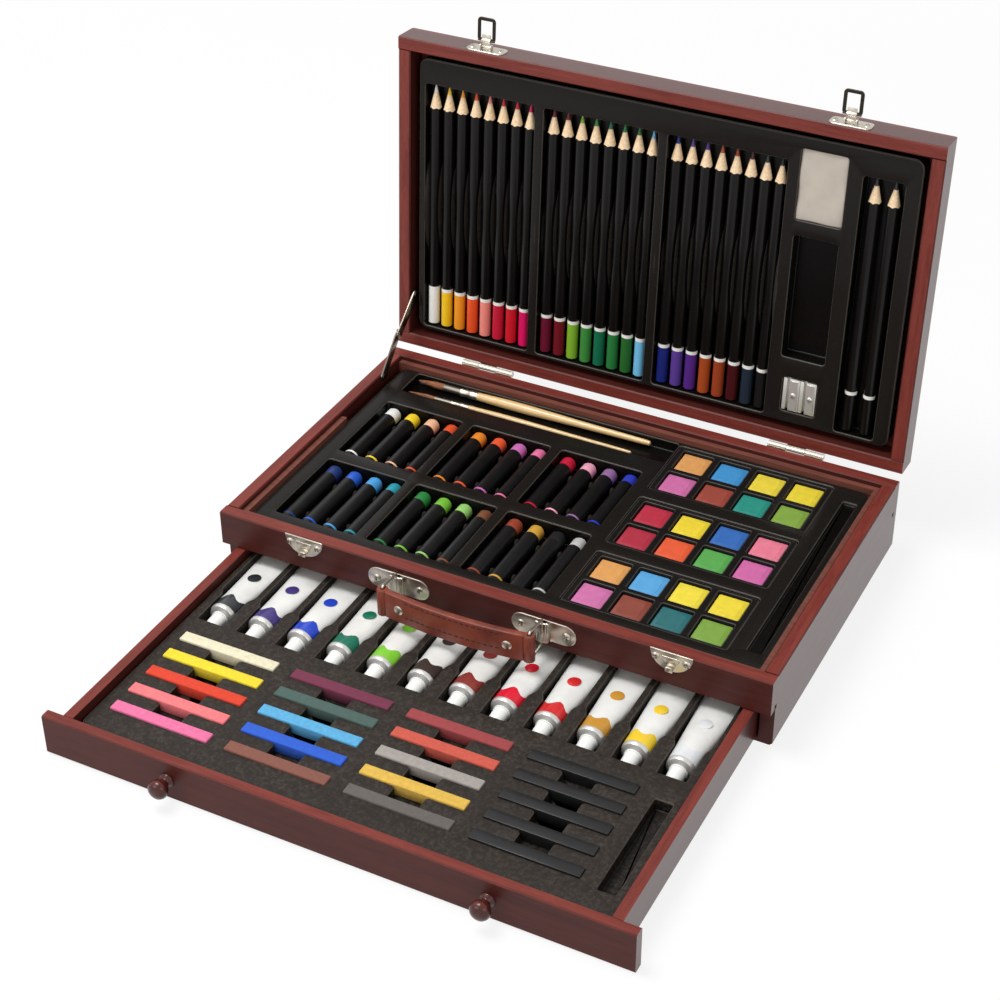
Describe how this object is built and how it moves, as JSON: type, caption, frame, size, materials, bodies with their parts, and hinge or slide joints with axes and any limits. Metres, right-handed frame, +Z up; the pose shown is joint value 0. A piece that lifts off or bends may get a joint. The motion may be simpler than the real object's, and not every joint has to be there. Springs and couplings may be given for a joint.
{
  "type": "pencil drawer box",
  "caption": "Hinged wooden art case with a pencil-lined lid, a tray of oil pastels and watercolours, and a pull-out drawer of paint tubes and chalks.",
  "frame": {"origin": "middle of the case's underside, on the surface it stands on", "axes": "+X along the front to the right, +Y to the back where the hinges are, +Z up"},
  "size_m": [0.375, 0.4654, 0.3034],
  "materials": {
    "case_wood": "red-brown lacquer, satin",
    "lining_wood": "bare, matte",
    "knob_wood": "dark lacquer, gloss",
    "tray_black": "glossy formed sheet",
    "tray_grey": "dusty formed sheet",
    "nickel": "bright nickel plate",
    "bronze": "dark plated wire",
    "steel": "brushed",
    "leather": "brown, stitched",
    "pencil_lacquer": "lacquered colours over light wood",
    "lead": "coloured lead",
    "graphite": "graphite, slight sheen",
    "graphite_lacquer": "black lacquer",
    "eraser": "matte",
    "sharpener": "cast, satin",
    "oil_pastel": "waxy colours in black wrappers",
    "chalk": "dusty chalk colours",
    "palette": "glossy",
    "paint_pan": "pressed watercolour colours",
    "brush_wood": "lacquered",
    "bristle": "soft hair",
    "tube": "white enamel",
    "tube_cap": "white"
  },
  "bodies": {
    "case": {"bottom_panel": "case_wood", "housing_sides": "case_wood", "housing_back": "case_wood", "upper_front_rail": "case_wood", "upper_back_rail": "case_wood", "upper_side_rails": "case_wood", "deck_panel": "lining_wood", "tray_lining": "lining_wood", "base_tray": "tray_black", "oil_pastels": "oil_pastel", "brush_tips": "bristle", "brush_ferrules": "nickel", "brush_handles": "brush_wood", "watercolour_palettes": "palette", "watercolour_pans": "paint_pan", "keeper_plates": "nickel", "handle_plates": "nickel", "case_screws": "steel", "base_hinge_leaves": "nickel", "hinge_pins": "steel", "stay_foot_pin": "bronze"},
    "lid": {"lid_front_rail": "case_wood", "lid_back_rail": "case_wood", "lid_side_rails": "case_wood", "lid_panel": "case_wood", "lid_tray": "tray_black", "colour_pencils": "pencil_lacquer", "colour_leads": "lead", "graphite_pencils": "graphite_lacquer", "graphite_leads": "graphite", "kneaded_eraser": "eraser", "sharpener_body": "sharpener", "sharpener_blades": "steel", "sharpener_screws": "steel", "lid_hinge_leaves": "nickel", "latch_plates": "nickel", "latch_screws": "steel", "stay_head_pin": "bronze"},
    "drawer": {"drawer_front": "case_wood", "drawer_sides": "case_wood", "drawer_back": "case_wood", "drawer_bottom": "lining_wood", "drawer_knobs": "knob_wood", "knob_screws": "steel", "drawer_tray": "tray_grey", "paint_tubes": "tube", "tube_caps": "tube_cap", "soft_pastels": "chalk", "graphite_sticks": "graphite"},
    "ring_left": {"handle_ring_left": "nickel"},
    "ring_right": {"handle_ring_right": "nickel"},
    "strap": {"handle_strap": "leather", "strap_rivets": "nickel"},
    "lever_left": {"latch_lever_left": "nickel"},
    "lever_right": {"latch_lever_right": "nickel"},
    "bail_left": {"latch_bail_left": "bronze"},
    "bail_right": {"latch_bail_right": "bronze"},
    "stay_lower": {"stay_lower_arm": "bronze"},
    "stay_upper": {"stay_upper_arm": "bronze"}
  },
  "joints": [
    {"name": "lid_hinge", "type": "hinge", "parent": "case", "child": "lid", "pos_m": [0, 0.1158, 0.053], "axis": [-1, 0, 0], "range_deg": [-93.9, 0]},
    {"name": "drawer_slide", "type": "slide", "parent": "case", "child": "drawer", "axis": [0, -1, 0], "range_m": [-0.1875, 0]},
    {"name": "handle_swing", "type": "hinge", "parent": "case", "child": "ring_left", "pos_m": [-0.05725, -0.1161, 0.0404], "axis": [0, 0, 1], "range_deg": [-55, 55]},
    {"name": "ring_right_swing", "type": "hinge", "parent": "case", "child": "ring_right", "pos_m": [0.04225, -0.1161, 0.0404], "axis": [0, 0, 1], "range_deg": [-60, 60]},
    {"name": "strap_turn", "type": "hinge", "parent": "ring_left", "child": "strap", "pos_m": [-0.05725, -0.1331, 0.0404], "axis": [0, 0, 1], "range_deg": [-60, 60]},
    {"name": "lever_left_turn", "type": "hinge", "parent": "lid", "child": "lever_left", "pos_m": [-0.1248, 0.13755, 0.28375], "axis": [-1, 0, 0], "range_deg": [-90, 0]},
    {"name": "bail_left_turn", "type": "hinge", "parent": "lever_left", "child": "bail_left", "pos_m": [-0.1248, 0.13783, 0.28795], "axis": [-1, 0, 0], "range_deg": [0, 100]},
    {"name": "lever_right_turn", "type": "hinge", "parent": "lid", "child": "lever_right", "pos_m": [0.1248, 0.13755, 0.28375], "axis": [-1, 0, 0], "range_deg": [-90, 0]},
    {"name": "bail_right_turn", "type": "hinge", "parent": "lever_right", "child": "bail_right", "pos_m": [0.1248, 0.13783, 0.28795], "axis": [-1, 0, 0], "range_deg": [0, 100]},
    {"name": "stay_lower_turn", "type": "hinge", "parent": "case", "child": "stay_lower", "pos_m": [-0.177, 0.078, 0.05], "axis": [-1, 0, 0], "range_deg": [-142, 0]},
    {"name": "stay_upper_turn", "type": "hinge", "parent": "lid", "child": "stay_upper", "pos_m": [-0.177, 0.12403, 0.09283], "axis": [-1, 0, 0], "range_deg": [0, 109]}
  ],
  "couplings": [
    {"joint": "ring_right_swing", "follows": "handle_swing", "ratio": 1},
    {"joint": "strap_turn", "follows": "handle_swing", "ratio": -1},
    {"joint": "stay_lower_turn", "follows": "lid_hinge", "ratio": 1.5096},
    {"joint": "stay_upper_turn", "follows": "lid_hinge", "ratio": -1.1582}
  ]
}
